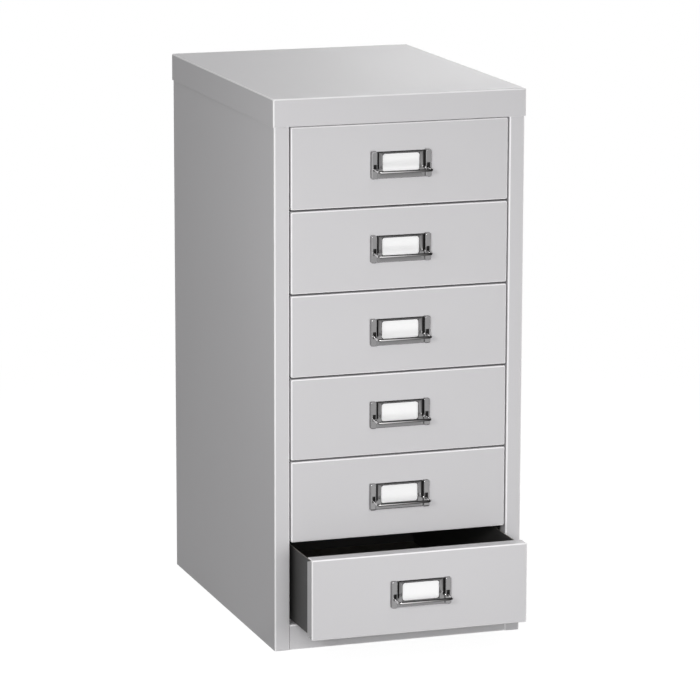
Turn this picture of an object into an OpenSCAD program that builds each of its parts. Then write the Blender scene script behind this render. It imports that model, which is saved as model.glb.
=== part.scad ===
// Six-drawer sheet-steel desk cabinet with card-holder pulls.
// X is the width, Y runs from the front (negative) to the back, Z is up.
// The origin is at the middle of the carcase, on the surface it stands on.

/* [Cabinet] */
// Width over the top cap
cabinet_w = 279; // [260:1:300]
// Depth over the top cap
cabinet_d = 380; // [360:1:400]
// Height from the surface it stands on to the top
cabinet_h = 590; // [560:1:620]
// Thickness of the carcase sheet
body_sheet = 0.9; // [0.7:0.1:1.2]
// Outside radius of the carcase bends
body_bend = 2; // [1.5:0.1:3]
// Height of the cap's skirt
skirt_h = 29.5; // [20:0.5:40]
// Gap between the cap's skirt and the body inside it
cap_gap = 0.3; // [0.1:0.1:0.6]
// Width of each front stile
stile_w = 16.8; // [14:0.1:20]
// Depth of the stile's inner return
stile_return = 16; // [10:0.5:20]
// Width of the side panel's rear flange
rear_flange = 18; // [12:0.5:25]
// Height of the front plinth
plinth_h = 27.6; // [20:0.1:35]
// Depth of the flanges on the plinth and the header
channel_flange = 18; // [12:0.5:25]
// Height of the bottom panel's side flanges
bottom_flange = 15; // [10:0.5:20]
// Depth of the back panel's top and bottom flanges
back_flange = 14; // [8:0.5:20]

/* [Drawer fronts] */
// Gap between neighbouring fronts, and above the top one and below the bottom one together
front_gap = 1.9; // [1.2:0.1:3]
// Gap between a front and the stile on each side
front_side_gap = 1.6; // [1:0.1:3]
// Thickness of the front's sheet
front_sheet = 0.9; // [0.7:0.1:1.2]
// Outside radius of the front's folded edges
front_bend = 1.8; // [1.5:0.1:3]
// Depth of the front's returns
front_return = 15; // [10:0.5:20]
// Height of the notch that opens between the returns at each corner
corner_notch = 4.5; // [2.5:0.5:8]

/* [Trays] */
// Thickness of the tray sheet
tray_sheet = 0.8; // [0.6:0.1:1]
// Outside radius of the tray's bottom bends
tray_bend = 2; // [1.5:0.1:3]
// Gap between the tray and the stile's inner face on each side
tray_side_gap = 4.5; // [4:0.1:6]
// Distance from the top of the front down to the top of the tray
tray_drop = 4; // [3:0.5:10]
// Room behind a closed tray
rear_room = 26; // [20:1:40]
// Height of the hem folded along the tray's top edge
hem_h = 6; // [4:0.5:10]
// Reach of the stop ears beside the tray
ear_reach = 10; // [8:0.5:12]
// Distance a drawer slides from closed to its stop
travel = 280; // [240:1:285]
// Distance the lowest drawer stands open
open_by = 70; // [0:1:200]

/* [Runners] */
// Thickness of the runner sheet
runner_sheet = 1; // [0.8:0.1:1.2]
// Inside radius of the runner's bends
runner_bend = 0.6; // [0.4:0.1:1]
// Reach of the ledge under the tray
ledge_reach = 8; // [6:0.5:12]
// Height of the guide wall beside the tray
guide_h = 8; // [6:0.5:12]
// Side clearance between the tray and the guide wall
guide_gap = 1; // [0.6:0.1:1.5]
// Height of the flange that is welded to the side panel
weld_flange = 14; // [10:0.5:20]
// Height of the stop tab above the runner's shelf
stop_h = 13; // [8:0.5:16]
// Clearance between a tray and its end stops
stop_gap = 0.3; // [0.2:0.1:0.5]

/* [Card holder] */
// Width of the card holder
holder_w = 66.5; // [60:0.5:75]
// Height of the card holder
holder_h = 29; // [26:0.5:34]
// Thickness of the holder's sheet
holder_sheet = 0.8; // [0.6:0.1:1]
// Outside radius of the holder's pressed edges
holder_bend = 1.6; // [1.2:0.1:2]
// Depth of the space for the card behind the holder
card_space = 1.3; // [1:0.1:1.6]
// Width of the card window
window_w = 41; // [36:0.5:44]
// Height of the card window
window_h = 19.2; // [17:0.1:22]
// Corner radius of the card window
window_r = 3; // [1:0.5:5]
// Margin of the holder above the window
window_top = 2.9; // [2.5:0.1:4]
// Distance from the top of the ears down to the top of the card frame
frame_drop = 1.6; // [0.4:0.1:1.8]
// Width of each pressed ear
ear_w = 6.7; // [6.5:0.1:8]
// Height of the ears above the drawer front
ear_rise = 4.6; // [4.4:0.1:6]
// Width of the slit between each ear and the card frame
slit_w = 1.5; // [1:0.1:2]
// Width of the card
card_w = 47; // [44:0.5:48]
// Height of the card
card_h = 25.8; // [24:0.1:26.2]
// Thickness of the card
card_t = 0.5; // [0.2:0.1:0.8]
// Height of each fixing lug
lug_h = 5; // [3:0.5:6]
// Reach of the folded end of each lug
lug_fold = 4; // [3:0.5:6]
// Clearance round each lug in its slot
lug_gap = 0.2; // [0.1:0.1:0.4]

/* [Bail] */
// Diameter of the bail's wire
wire_d = 2.8; // [2.4:0.1:2.9]
// Distance from the pivot to the middle of the crossbar
arm_l = 15.5; // [12:0.5:20]
// Distance of the pivot below the holder's middle
pivot_drop = 4.4; // [0:0.1:6]
// Angle at which the hanging bail rests below the horizontal
rest_angle = 4; // [0:1:30]
// Angle above the horizontal to which the bail lifts
lift_angle = 50; // [30:1:55]
// Radius of the crossbar's corner bends, at the middle of the wire
corner_bend = 3.2; // [2.5:0.1:4]
// Radius of the bends into the pivot pins, at the middle of the wire
pin_bend = 1.9; // [1.6:0.1:2]
// Clearance of the pins in their bores
pin_clearance = 0.06; // [0.02:0.01:0.1]
// Clearance of the wire in its slot
slot_clearance = 0.3; // [0.2:0.1:0.4]

/* [Hidden] */

DRAWERS = 6;
BEND_STEPS = 4;
CIRCLE_FN = 48;
SILVER_PAINT = [0.74, 0.74, 0.75];
DARK_PAINT = [0.12, 0.12, 0.12];
ZINC = [0.55, 0.55, 0.56];
NICKEL = [0.72, 0.71, 0.69];
PAPER = [0.95, 0.95, 0.94];
// How far a cutting shape runs past the surface that it cuts
PAST = 1;

// Carcase
body_half_w = cabinet_w / 2 - body_sheet - cap_gap;
body_front = -cabinet_d / 2 + body_sheet + cap_gap;
body_back = -body_front;
body_top = cabinet_h - body_sheet;
side_top = cabinet_h - body_bend;
body_fold = body_bend - body_sheet;
side_inner = body_half_w - body_sheet;
opening_half = body_half_w - stile_w;
opening_top = cabinet_h - skirt_h;
stile_back = body_front + stile_return;
bottom_start = body_front + channel_flange;

// Drawer fronts, counted from the top
pitch = (opening_top - plinth_h) / DRAWERS;
front_w = 2 * (opening_half - front_side_gap);
front_h = pitch - front_gap;
function front_z(i) = opening_top - i * pitch + front_gap / 2;
function open_y(i) = i == DRAWERS ? -open_by : 0;

// Trays
tray_half = opening_half - tray_side_gap;
tray_front = body_front + front_sheet;
tray_back = body_back - rear_room;
tray_fold = tray_bend - tray_sheet;
hem_fold = 0.05;
function tray_z(i) = front_z(i) + front_sheet;
function tray_top(i) = front_z(i) + front_h - tray_drop;

// Runners
guide_mid = tray_half + guide_gap + runner_sheet / 2;
weld_mid = side_inner - runner_sheet / 2;
runner_start = stile_back + stop_gap;
runner_end = tray_back + stop_gap + runner_sheet;
ear_z_gap = 1;
stop_y = tray_back - tray_sheet - travel - stop_gap;

// Card holder, measured out from the drawer front's face
plate_out = card_space + holder_sheet;
holder_fold = holder_bend - holder_sheet;
ear_inner = holder_w / 2 - ear_w;
slit_inner = ear_inner - slit_w;
cheek_inner = ear_inner + holder_sheet;
cheek_outer = holder_w / 2 - holder_sheet;
lug_z = holder_h / 2 - lug_h / 2 - 3;
lug_back = front_sheet + tray_sheet;
function holder_z(i) = front_z(i) + front_h / 2;

// Bail
wire_r = wire_d / 2;
pin_out = ear_rise - holder_sheet - wire_r - slot_clearance;
arm_x = cheek_inner + slot_clearance + wire_r + 0.5;
pin_end = ear_inner - slot_clearance;
slot_w = wire_d + 2 * slot_clearance;
slot_down = reach_in_slot(rest_angle);
slot_up = reach_in_slot(lift_angle);

// Height above or below the pivot at which the wire passes the ear's face at an angle
function reach_in_slot(angle) = (ear_rise - pin_out) * tan(angle) + wire_r / cos(angle) + slot_clearance / 2;

// ---- Outlines ----

function unit(v) = v / norm(v);
function left_of(v) = [-v.y, v.x];
function turned(v, a) = [v.x * cos(a) - v.y * sin(a), v.x * sin(a) + v.y * cos(a)];
function flat(p) = [p.x, p.y];
function reversed(list) = [for (i = [len(list) - 1 : -1 : 0]) list[i]];

// One side of a bent sheet. Each point of path is [u, v, inside radius of the bend there].
function sheet_side(path, t, side) = let (last = len(path) - 1) concat(
    [flat(path[0]) + side * t / 2 * left_of(unit(flat(path[1] - path[0])))],
    [for (i = [1 : 1 : last - 1]) each bend_points(path, i, t, side)],
    [flat(path[last]) + side * t / 2 * left_of(unit(flat(path[last] - path[last - 1])))]
);

// The arc that one side of the sheet follows round the bend at path[i]
function bend_points(path, i, t, side) =
    let (
        into = unit(flat(path[i] - path[i - 1])),
        out = unit(flat(path[i + 1] - path[i])),
        turn = into.x * out.y - into.y * out.x >= 0 ? 1 : -1,
        angle = acos(into * out),
        mid_r = path[i][2] + t / 2,
        centre = flat(path[i]) - into * mid_r * tan(angle / 2) + turn * mid_r * left_of(into),
        arc_r = mid_r - turn * side * t / 2
    )
    [for (k = [0 : BEND_STEPS]) centre - turn * arc_r * turned(left_of(into), turn * angle * k / BEND_STEPS)];

function sheet_outline(path, t) = concat(sheet_side(path, t, 1), reversed(sheet_side(path, t, -1)));

function arc(centre, r, from, to) =
    [for (k = [0 : BEND_STEPS]) let (a = from + (to - from) * k / BEND_STEPS) centre + r * [cos(a), sin(a)]];

function rounded_rect(lo, hi, r) = concat(
    arc([hi.x - r, hi.y - r], r, 0, 90),
    arc([lo.x + r, hi.y - r], r, 90, 180),
    arc([lo.x + r, lo.y + r], r, 180, 270),
    arc([hi.x - r, lo.y + r], r, 270, 360)
);

// ---- Extrusions ----

// Extrude an outline of (y, z) points along X
module along_x(x0, x1) {
    translate([x0, 0, 0]) rotate([90, 0, 90]) linear_extrude(x1 - x0) children();
}

// Extrude an outline of (x, z) points along Y
module along_y(y0, y1) {
    translate([0, y1, 0]) rotate([90, 0, 0]) linear_extrude(y1 - y0) children();
}

// Extrude an outline of (x, y) points along Z
module along_z(z0, z1) {
    translate([0, 0, z0]) linear_extrude(z1 - z0) children();
}

module box(lo, hi) {
    translate(lo) cube(hi - lo);
}

// Block from corner lo to corner hi with every edge rounded
module rounded_block(lo, hi, r) {
    intersection() {
        along_x(lo.x, hi.x) polygon(rounded_rect([lo.y, lo.z], [hi.y, hi.z], r));
        along_y(lo.y, hi.y) polygon(rounded_rect([lo.x, lo.z], [hi.x, hi.z], r));
        along_z(lo.z, hi.z) polygon(rounded_rect([lo.x, lo.y], [hi.x, hi.y], r));
    }
}

// Pressed sheet pan that fills the box from lo to hi, with its open side towards open
module pan(lo, hi, t, r, open) {
    more = 2 * r;
    lo_more = [for (k = [0 : 2]) open[k] < 0 ? lo[k] - more : lo[k]];
    hi_more = [for (k = [0 : 2]) open[k] > 0 ? hi[k] + more : hi[k]];
    intersection() {
        box(lo, hi);
        difference() {
            rounded_block(lo_more, hi_more, r);
            rounded_block(lo_more + [t, t, t], hi_more - [t, t, t], r - t);
        }
    }
}

// ---- Carcase ----

// Side, front stile with its inner return, and rear flange, folded from one sheet
module side_panel() {
    front_mid = body_front + body_sheet / 2;
    side_mid = body_half_w - body_sheet / 2;
    along_z(0, side_top) polygon(sheet_outline([
        [opening_half + body_sheet / 2, stile_back, 0],
        [opening_half + body_sheet / 2, front_mid, body_fold],
        [side_mid, front_mid, body_fold],
        [side_mid, -front_mid, body_fold],
        [body_half_w - rear_flange, -front_mid, 0]
    ], body_sheet));
}

module side_panel_left() {
    color(SILVER_PAINT) mirror([1, 0, 0]) side_panel();
}

module side_panel_right() {
    color(SILVER_PAINT) side_panel();
}

// Bottom sheet with flanges turned up against the side panels
module bottom_panel() {
    flange_mid = side_inner - body_sheet / 2;
    color(SILVER_PAINT) along_y(bottom_start, body_back - body_bend) polygon(sheet_outline([
        [-flange_mid, bottom_flange, 0],
        [-flange_mid, body_sheet / 2, body_fold],
        [flange_mid, body_sheet / 2, body_fold],
        [flange_mid, bottom_flange, 0]
    ], body_sheet));
}

// Back sheet inside the rear flanges, with its top and bottom edges folded forwards
module back_panel() {
    back_mid = body_back - 1.5 * body_sheet;
    half = side_inner - body_bend - cap_gap;
    color(SILVER_PAINT) along_x(-half, half) polygon(sheet_outline([
        [back_mid - back_flange, 1.5 * body_sheet, 0],
        [back_mid, 1.5 * body_sheet, body_fold],
        [back_mid, body_top - body_sheet / 2, body_fold],
        [back_mid - back_flange, body_top - body_sheet / 2, 0]
    ], body_sheet));
}

// Top sheet with a skirt on all four sides, fitted over the body like a lid
module top_cap() {
    color(SILVER_PAINT) pan(
        [-cabinet_w / 2, -cabinet_d / 2, opening_top],
        [cabinet_w / 2, cabinet_d / 2, cabinet_h],
        body_sheet, body_bend, [0, 0, -1]
    );
}

// Channel across the opening between the stile returns, open towards the back
module cross_channel(z0, z1) {
    front_mid = body_front + body_sheet / 2;
    along_x(-opening_half, opening_half) polygon(sheet_outline([
        [body_front + channel_flange, z1 - body_sheet / 2, 0],
        [front_mid, z1 - body_sheet / 2, body_fold],
        [front_mid, z0 + body_sheet / 2, body_fold],
        [body_front + channel_flange, z0 + body_sheet / 2, 0]
    ], body_sheet));
}

module front_plinth() {
    color(SILVER_PAINT) cross_channel(0, plinth_h);
}

// Rail behind the front skirt, which closes the top of the opening
module header_rail() {
    color(SILVER_PAINT) cross_channel(opening_top, body_top);
}

// ---- Runners ----

// Right-hand runner of drawer i: ledge, guide wall, shelf and weld flange in one fold
module runner(i) {
    ledge_mid = tray_z(i) - runner_sheet / 2;
    shelf_mid = tray_z(i) + guide_h + runner_sheet / 2;
    shelf_top = shelf_mid + runner_sheet / 2;
    tab = [tray_half + 2, tray_half + ear_reach];
    difference() {
        along_y(runner_start, runner_end) polygon(sheet_outline([
            [tray_half - ledge_reach, ledge_mid, 0],
            [guide_mid, ledge_mid, runner_bend],
            [guide_mid, shelf_mid, runner_bend],
            [weld_mid, shelf_mid, runner_bend],
            [weld_mid, shelf_mid + weld_flange, 0]
        ], runner_sheet));
        box([tab[0], stop_y - runner_sheet - stop_h, shelf_mid - runner_sheet],
            [tab[1], stop_y - runner_sheet - runner_bend, shelf_top + PAST]);
    }
    front_stop(tab, shelf_mid);
    rear_stop(ledge_mid, shelf_mid);
}

// Tab lanced up out of the shelf, which the tray's ear meets when the drawer is fully out
module front_stop(tab, shelf_mid) {
    along_x(tab[0], tab[1]) polygon(sheet_outline([
        [stop_y + 3 * runner_sheet, shelf_mid, 0],
        [stop_y - runner_sheet / 2, shelf_mid, runner_bend],
        [stop_y - runner_sheet / 2, shelf_mid + stop_h, 0]
    ], runner_sheet));
}

// End of the guide wall folded in behind the tray, which the closed drawer meets
module rear_stop(ledge_mid, shelf_mid) {
    along_z(ledge_mid - runner_sheet / 2, shelf_mid + runner_sheet / 2) polygon(sheet_outline([
        [guide_mid, runner_end - 6 * runner_sheet, 0],
        [guide_mid, runner_end - runner_sheet / 2, runner_bend],
        [tray_half - ledge_reach / 2, runner_end - runner_sheet / 2, 0]
    ], runner_sheet));
}

module runner_right(i) {
    color(ZINC) runner(i);
}

module runner_left(i) {
    color(ZINC) mirror([1, 0, 0]) runner(i);
}

// ---- Drawers ----

// Folded front, a shallow pan open towards the back
module drawer_front(i) {
    z0 = front_z(i);
    color(SILVER_PAINT) translate([0, open_y(i), 0]) difference() {
        pan([-front_w / 2, body_front, z0], [front_w / 2, body_front + front_return, z0 + front_h],
            front_sheet, front_bend, [0, 1, 0]);
        lug_slots(i);
        for (side = [-1, 1]) {
            x = side * (front_w / 2 - front_bend / 2);
            along_x(x - front_bend, x + front_bend) {
                return_notch(z0 + front_sheet, 1);
                return_notch(z0 + front_h - front_sheet, -1);
            }
        }
    }
}

// Wedge between a side return and the level return whose inner face is at z
module return_notch(z, inward) {
    front = body_front + 2 * front_bend;
    back = body_front + front_return + PAST;
    polygon([[front, z], [back, z], [back, z + inward * (corner_notch - front_sheet)]]);
}

// Slots for the card holder's lugs, through the front and the tray's front wall
module lug_slots(i) {
    for (side = [-1, 1], level = [-1, 1]) {
        x = side * (holder_w / 2 - holder_sheet / 2);
        z = holder_z(i) + level * lug_z;
        half = [holder_sheet / 2 + lug_gap, 0, lug_h / 2 + lug_gap];
        box([x - half.x, body_front - PAST, z - half.z], [x + half.x, tray_front + tray_sheet + PAST, z + half.z]);
    }
}

// Open tray with hemmed walls, and an ear on each side at the back that meets the front stop
module drawer_tray(i) {
    z0 = tray_z(i);
    top = tray_top(i);
    side_mid = tray_half - tray_sheet / 2;
    base_mid = z0 + tray_sheet / 2;
    hem_mid = side_mid - tray_sheet - 2 * hem_fold;
    half_path = [
        [hem_mid, top - hem_h, 0],
        [hem_mid, top - tray_sheet / 2, hem_fold],
        [side_mid, top - tray_sheet / 2, hem_fold],
        [side_mid, base_mid, tray_fold]
    ];
    path = concat(half_path, [for (p = reversed(half_path)) [-p.x, p.y, p[2]]]);
    bend_path = [for (p = path) if (abs(p.x) > hem_mid) p];
    color(DARK_PAINT) translate([0, open_y(i), 0]) difference() {
        union() {
            intersection() {
                along_y(tray_front, tray_back) polygon(sheet_outline(path, tray_sheet));
                along_x(-tray_half, tray_half) polygon(tray_side_outline(z0, top));
            }
            intersection() {
                along_y(tray_front, tray_back) polygon(sheet_side(bend_path, tray_sheet, 1));
                along_x(-side_mid, side_mid) {
                    end_wall(tray_front + tray_sheet / 2, 1, z0, top);
                    end_wall(tray_back - tray_sheet / 2, -1, z0, top);
                }
            }
            for (side = [0, 1]) mirror([side, 0, 0]) stop_ear(i);
        }
        lug_slots(i);
    }
}

// Outline of the tray seen from the side, with its two bottom corners rounded
function tray_side_outline(z0, top) = concat(
    [[tray_back, top], [tray_front, top]],
    arc([tray_front + tray_bend, z0 + tray_bend], tray_bend, 180, 270),
    arc([tray_back - tray_bend, z0 + tray_bend], tray_bend, 270, 360)
);

// Section of a tray's end wall, folded up from the floor, with its top edge hemmed towards inward
module end_wall(wall_mid, inward, z0, top) {
    hem_mid = wall_mid + inward * (tray_sheet + 2 * hem_fold);
    base_mid = z0 + tray_sheet / 2;
    polygon(sheet_outline([
        [wall_mid + inward * 2 * tray_bend, base_mid, 0],
        [wall_mid, base_mid, tray_fold],
        [wall_mid, top - tray_sheet / 2, hem_fold],
        [hem_mid, top - tray_sheet / 2, hem_fold],
        [hem_mid, top - hem_h, 0]
    ], tray_sheet));
}

// Rear end of the tray's right wall, folded outwards above the runner's shelf
module stop_ear(i) {
    z0 = tray_z(i) + guide_h + runner_sheet + ear_z_gap;
    side_mid = tray_half - tray_sheet / 2;
    back_mid = tray_back - tray_sheet / 2;
    along_z(z0, z0 + stop_h) polygon(sheet_outline([
        [side_mid, back_mid - 3 * tray_bend, 0],
        [side_mid, back_mid, tray_fold / 2],
        [tray_half + ear_reach, back_mid, 0]
    ], tray_sheet));
}

// ---- Card holders and bails ----

// Places a child, drawn with Y pointing back from the front's face, on drawer i
module on_front(i) {
    translate([0, body_front + open_y(i), holder_z(i)]) children();
}

// Pressed frame with a window, and an ear on each side that holds the bail
module card_holder(i) {
    half = [holder_w / 2, holder_h / 2];
    frame_top = half.y - frame_drop;
    color(NICKEL) on_front(i) {
        difference() {
            union() {
                for (side = [0, 1]) mirror([side, 0, 0]) ear(half);
                box([-cheek_inner, -plate_out, -half.y], [cheek_inner, -card_space, frame_top]);
                box([-cheek_inner, -plate_out, -half.y], [cheek_inner, 0, -half.y + holder_sheet]);
                for (side = [0, 1]) mirror([side, 0, 0])
                    box([slit_inner - holder_sheet, -plate_out, -pivot_drop], [slit_inner, 0, frame_top]);
            }
            window(half);
            for (side = [0, 1]) mirror([side, 0, 0]) ear_cuts(half);
        }
        for (side = [0, 1], level = [-1, 1]) mirror([side, 0, 0]) lug(level * lug_z);
    }
}

// One hollow ear, closed at its ends and open towards the drawer front
module ear(half) {
    pan([ear_inner, -ear_rise, -half.y], [half.x, 0, half.y], holder_sheet, holder_bend, [0, 1, 0]);
}

// Round-cornered window for the card
module window(half) {
    top = half.y - window_top;
    along_y(-plate_out - PAST, -card_space + PAST)
        polygon(rounded_rect([-window_w / 2, top - window_h], [window_w / 2, top], window_r));
}

// Slit beside the card frame, slot for the bail's arm and bore for its pin
module ear_cuts(half) {
    box([slit_inner, -ear_rise, -pivot_drop - wire_d], [ear_inner, PAST, half.y + PAST]);
    box([arm_x - slot_w / 2, -ear_rise - PAST, -pivot_drop - slot_down],
        [arm_x + slot_w / 2, -pin_out, -pivot_drop + slot_up]);
    translate([slit_inner, -pin_out, -pivot_drop]) rotate([0, 90, 0])
        cylinder(h = slit_w + 2 * holder_sheet, r = wire_r + pin_clearance, $fn = CIRCLE_FN);
}

// Lug through the front and the tray, folded over inside
module lug(z) {
    cheek_mid = holder_w / 2 - holder_sheet / 2;
    fold_mid = lug_back + holder_sheet / 2;
    along_z(z - lug_h / 2, z + lug_h / 2) polygon(sheet_outline([
        [cheek_mid, -holder_bend, 0],
        [cheek_mid, fold_mid, lug_gap],
        [cheek_mid - lug_fold, fold_mid, 0]
    ], holder_sheet));
}

// Card that stands on the holder's bottom lip, behind the window
module label_card(i) {
    z0 = -holder_h / 2 + holder_sheet;
    color(PAPER) on_front(i) box([-card_w / 2, -card_t, z0], [card_w / 2, 0, z0 + card_h]);
}

// Wire bail: crossbar, two arms and two pins turned inwards into the ears
module pull(i) {
    color(NICKEL) on_front(i) translate([0, -pin_out, -pivot_drop]) rotate([rest_angle, 0, 0]) {
        crossbar_half = arm_x - corner_bend;
        translate([-crossbar_half, -arm_l, 0]) rotate([0, 90, 0]) wire(2 * crossbar_half);
        for (side = [0, 1]) mirror([side, 0, 0]) {
            translate([arm_x - corner_bend, -arm_l + corner_bend, 0]) rotate([0, 0, -90]) wire_bend(corner_bend);
            translate([arm_x, -pin_bend, 0]) rotate([90, 0, 0]) wire(arm_l - corner_bend - pin_bend);
            translate([arm_x - pin_bend, -pin_bend, 0]) wire_bend(pin_bend);
            translate([pin_end, 0, 0]) rotate([0, 90, 0]) wire(arm_x - pin_bend - pin_end);
        }
    }
}

module wire(length) {
    cylinder(h = length, r = wire_r, $fn = CIRCLE_FN);
}

// Quarter turn of wire about the origin, from +X to +Y
module wire_bend(r) {
    rotate_extrude(angle = 90, $fn = CIRCLE_FN) translate([r, 0]) circle(r = wire_r, $fn = CIRCLE_FN);
}

// ---- Nodes ----

module runner_left_1() { runner_left(1); }
module runner_left_2() { runner_left(2); }
module runner_left_3() { runner_left(3); }
module runner_left_4() { runner_left(4); }
module runner_left_5() { runner_left(5); }
module runner_left_6() { runner_left(6); }
module runner_right_1() { runner_right(1); }
module runner_right_2() { runner_right(2); }
module runner_right_3() { runner_right(3); }
module runner_right_4() { runner_right(4); }
module runner_right_5() { runner_right(5); }
module runner_right_6() { runner_right(6); }
module drawer_front_1() { drawer_front(1); }
module drawer_front_2() { drawer_front(2); }
module drawer_front_3() { drawer_front(3); }
module drawer_front_4() { drawer_front(4); }
module drawer_front_5() { drawer_front(5); }
module drawer_front_6() { drawer_front(6); }
module drawer_tray_1() { drawer_tray(1); }
module drawer_tray_2() { drawer_tray(2); }
module drawer_tray_3() { drawer_tray(3); }
module drawer_tray_4() { drawer_tray(4); }
module drawer_tray_5() { drawer_tray(5); }
module drawer_tray_6() { drawer_tray(6); }
module card_holder_1() { card_holder(1); }
module card_holder_2() { card_holder(2); }
module card_holder_3() { card_holder(3); }
module card_holder_4() { card_holder(4); }
module card_holder_5() { card_holder(5); }
module card_holder_6() { card_holder(6); }
module label_card_1() { label_card(1); }
module label_card_2() { label_card(2); }
module label_card_3() { label_card(3); }
module label_card_4() { label_card(4); }
module label_card_5() { label_card(5); }
module label_card_6() { label_card(6); }
module pull_1() { pull(1); }
module pull_2() { pull(2); }
module pull_3() { pull(3); }
module pull_4() { pull(4); }
module pull_5() { pull(5); }
module pull_6() { pull(6); }

side_panel_left();
side_panel_right();
bottom_panel();
back_panel();
top_cap();
front_plinth();
header_rail();
runner_left_1();
runner_left_2();
runner_left_3();
runner_left_4();
runner_left_5();
runner_left_6();
runner_right_1();
runner_right_2();
runner_right_3();
runner_right_4();
runner_right_5();
runner_right_6();
drawer_front_1();
drawer_front_2();
drawer_front_3();
drawer_front_4();
drawer_front_5();
drawer_front_6();
drawer_tray_1();
drawer_tray_2();
drawer_tray_3();
drawer_tray_4();
drawer_tray_5();
drawer_tray_6();
card_holder_1();
card_holder_2();
card_holder_3();
card_holder_4();
card_holder_5();
card_holder_6();
label_card_1();
label_card_2();
label_card_3();
label_card_4();
label_card_5();
label_card_6();
pull_1();
pull_2();
pull_3();
pull_4();
pull_5();
pull_6();
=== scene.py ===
"""Six-drawer desk cabinet in folded sheet steel, with pressed card holders and wire bails.

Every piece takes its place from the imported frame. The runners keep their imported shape, and
the others are folded, pressed, bent or cut here in finer detail. Lengths are in metres, X is
the width, Y runs from the front of the cabinet to its back and Z is up.
"""

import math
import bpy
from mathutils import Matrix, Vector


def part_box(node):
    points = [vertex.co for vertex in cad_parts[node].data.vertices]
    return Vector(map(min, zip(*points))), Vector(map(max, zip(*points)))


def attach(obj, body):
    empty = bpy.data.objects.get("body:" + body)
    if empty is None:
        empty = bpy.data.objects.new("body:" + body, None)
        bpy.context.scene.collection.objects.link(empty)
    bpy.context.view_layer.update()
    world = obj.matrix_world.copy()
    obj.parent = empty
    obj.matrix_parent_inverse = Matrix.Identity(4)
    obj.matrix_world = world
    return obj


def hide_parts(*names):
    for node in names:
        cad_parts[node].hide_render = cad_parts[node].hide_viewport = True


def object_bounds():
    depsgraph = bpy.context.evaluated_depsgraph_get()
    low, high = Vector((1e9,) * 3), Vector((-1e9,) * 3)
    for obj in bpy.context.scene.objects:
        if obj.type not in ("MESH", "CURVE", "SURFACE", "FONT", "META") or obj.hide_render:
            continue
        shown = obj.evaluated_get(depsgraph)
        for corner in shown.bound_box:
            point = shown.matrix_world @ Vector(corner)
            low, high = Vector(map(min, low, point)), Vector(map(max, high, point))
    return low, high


bl_info = {
    "name": "Sheet-steel drawer cabinet",
    "version": (1, 0, 0),
    "blender": (4, 5, 0),
    "location": "3D View > Sidebar > Cabinet",
    "description": "Folds, presses and paints the pieces of a small drawer cabinet",
    "category": "Object",
}

from functools import partial

import bmesh
import bpy
from bpy.props import FloatProperty, FloatVectorProperty, PointerProperty
from bpy.types import Operator, Panel, PropertyGroup
from mathutils import Matrix, Vector

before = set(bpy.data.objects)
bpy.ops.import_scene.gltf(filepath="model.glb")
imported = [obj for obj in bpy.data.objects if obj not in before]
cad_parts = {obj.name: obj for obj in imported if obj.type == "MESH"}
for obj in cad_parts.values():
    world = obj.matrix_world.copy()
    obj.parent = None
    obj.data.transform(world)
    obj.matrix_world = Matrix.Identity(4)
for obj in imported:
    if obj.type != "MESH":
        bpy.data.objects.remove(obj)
cad_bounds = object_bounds()

DRAWERS = 6
NUMBERS = range(1, DRAWERS + 1)
X, Y, Z = (Vector(axis) for axis in ((1, 0, 0), (0, 1, 0), (0, 0, 1)))
MERGE = 1e-6
# Vertex attribute with each vertex's share of painted shade and dark reflection on the plated
# pieces
PAINTED_SHADE = "tarnish"

# Segments round each kind of rounding
FOLD_STEPS = 6
PRESS_STEPS = 5
TIGHT_STEPS = 3
EDGE_STEPS = 2
WINDOW_STEPS = 8
WIRE_FACETS = 28
WIRE_BEND_STEPS = 10
BORE_FACETS = 12
SHARP = math.radians(50)

# Lamps by the setting of their power: place, width and whether gloss mirrors them
LAMPS = {
    "front": ((-0.9, -3.0, 1.0), 1.0, True),
    "key": ((-1.9, -2.85, 1.45), 0.4, True),
    "top": ((0, -0.3, 2.8), 1.8, True),
    "low": ((0.1, -1.1, 0.2), 0.36, False),
    "side": ((-0.5, -0.35, 0.5), 0.4, True),
    "back": ((1.6, 2.4, 1.4), 1.6, True),
}

# Camera's sensor in millimetres and clip distance, floor's reach and its fade to white
SENSOR_WIDTH = 36
CAMERA_REACH = 100
FLOOR_REACH = 30
FLOOR_FADE = (0.5, 1.3)

Length = partial(FloatProperty, unit="LENGTH", subtype="DISTANCE", precision=5, min=0)
Angle = partial(FloatProperty, unit="ROTATION", subtype="ANGLE")
Factor = partial(FloatProperty, subtype="FACTOR", min=0, max=1)
Colour = partial(FloatVectorProperty, subtype="COLOR", size=3, min=0, max=1)
Sheet = partial(Length, name="Sheet", description="Thickness of the sheet")
RawEdge = partial(
    Length, name="Raw edge", description="Rounding of the sheet's cut edges", default=0.0002
)
Place = partial(FloatVectorProperty, unit="LENGTH", subtype="TRANSLATION", size=3)
Power = partial(FloatProperty, unit="POWER", min=0)


# ---- Sizes and finishes that a user would change ----


class CarcaseSettings(PropertyGroup):
    """Sheet work of the carcase"""

    sheet: Sheet(default=0.0009)
    fold: Length(name="Fold", description="Outside radius of the folds", default=0.002)
    stile: Length(name="Stile", description="Width of each front stile", default=0.0168)
    stile_return: Length(
        name="Stile return", description="Depth of the stile's inner return", default=0.016
    )
    rear_flange: Length(
        name="Rear flange", description="Width of the side's rear flange", default=0.018
    )
    edge: RawEdge()


class FrontSettings(PropertyGroup):
    """Folded drawer fronts"""

    sheet: Sheet(default=0.0009)
    fold: Length(name="Fold", description="Outside radius of the folded edges", default=0.0018)
    notch: Length(
        name="Corner notch",
        description="Height of the notch between the returns at each corner",
        default=0.0045,
    )
    edge: RawEdge()


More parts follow.
